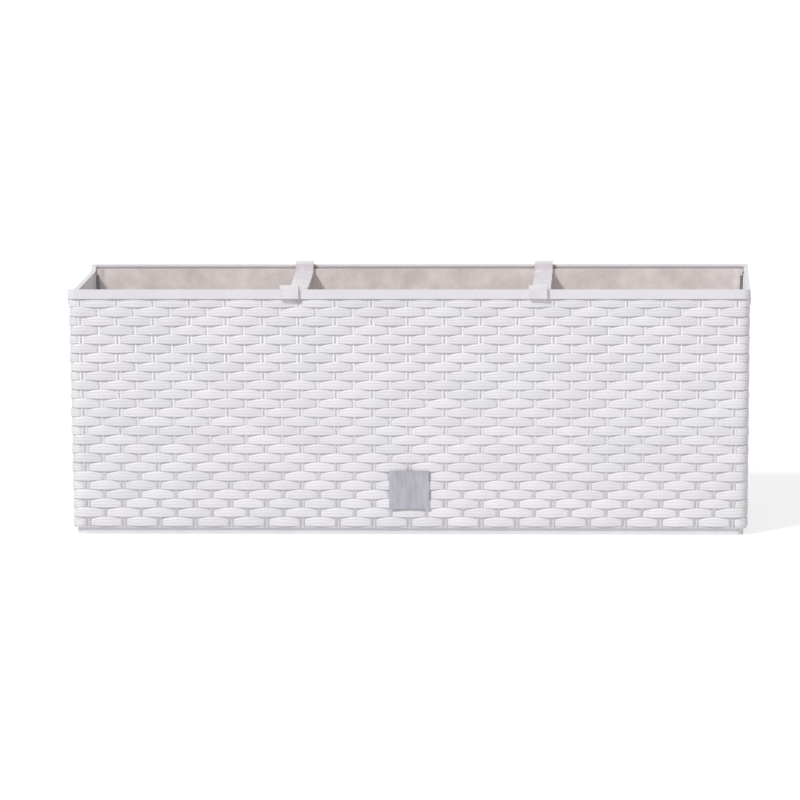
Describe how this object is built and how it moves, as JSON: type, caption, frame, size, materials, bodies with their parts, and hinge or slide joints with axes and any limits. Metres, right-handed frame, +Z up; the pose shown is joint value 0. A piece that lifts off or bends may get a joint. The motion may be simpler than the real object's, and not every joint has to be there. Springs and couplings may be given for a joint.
{
  "type": "self watering planter",
  "caption": "Rectangular window-box planter with a woven-look casing, lift-out liner, water reservoir, soil cups, filling tube, level indicator and drain plug.",
  "frame": {"origin": "bottom centre of the footprint, on the surface the planter stands on", "axes": "+X along the box's length to the viewer's right, front face towards -Y, +Z up"},
  "size_m": [0.514, 0.197, 0.1888],
  "materials": {
    "casing_plastic": "satin moulded polypropylene, white",
    "liner_plastic": "satin moulded polypropylene, warm beige grey",
    "cup_plastic": "satin moulded polypropylene, dark grey",
    "tube_plastic": "satin extruded plastic, pale grey",
    "cap_plastic": "glossy moulded plastic, white",
    "clear_plastic": "clear moulded plastic",
    "float_foam": "closed-cell foam, off-white",
    "rod_plastic": "satin plastic rod, white",
    "flag_plastic": "glossy plastic, red",
    "pin_steel": "bright steel wire",
    "seal_rubber": "black rubber",
    "badge_metal": "brushed aluminium, blank",
    "badge_tape": "white foam adhesive pad",
    "tie_plastic": "glossy moulded plastic, white with a lilac tint"
  },
  "bodies": {
    "casing": {"casing": "casing_plastic", "badge_adhesive": "badge_tape", "badge_plate": "badge_metal"},
    "liner": {"liner": "liner_plastic", "soil_cup_left": "cup_plastic", "soil_cup_centre": "cup_plastic", "soil_cup_right": "cup_plastic", "fill_tube": "tube_plastic", "fill_collar": "cap_plastic", "fill_cap_pin": "pin_steel", "indicator_tube": "clear_plastic", "indicator_foot": "tube_plastic", "indicator_bush": "tube_plastic", "indicator_cap": "clear_plastic"},
    "fill_cap": {"fill_cap": "cap_plastic"},
    "float": {"indicator_float": "float_foam", "indicator_rod": "rod_plastic", "indicator_flag": "flag_plastic"},
    "drain_plug": {"drain_plug": "cap_plastic", "drain_seal": "seal_rubber"},
    "tie_left": {"tie_clip_left": "tie_plastic"},
    "tie_right": {"tie_clip_right": "tie_plastic"}
  },
  "joints": [
    {"name": "liner_lift", "type": "slide", "parent": "casing", "child": "liner", "axis": [0, 0, 1], "range_m": [0, 0.18]},
    {"name": "fill_cap_hinge", "type": "hinge", "parent": "liner", "child": "fill_cap", "pos_m": [0.215, -0.0442, 0.17225], "axis": [-1, 0, 0], "range_deg": [0, 110]},
    {"name": "float_rise", "type": "slide", "parent": "liner", "child": "float", "axis": [0, 0, 1], "range_m": [0, 0.026]},
    {"name": "drain_plug_pull", "type": "slide", "parent": "casing", "child": "drain_plug", "axis": [0, 1, 0], "range_m": [0, 0.03]},
    {"name": "tie_left_lift", "type": "slide", "parent": "liner", "child": "tie_left", "axis": [0, 0, 1], "range_m": [0, 0.03]},
    {"name": "tie_right_lift", "type": "slide", "parent": "liner", "child": "tie_right", "axis": [0, 0, 1], "range_m": [0, 0.03]}
  ]
}
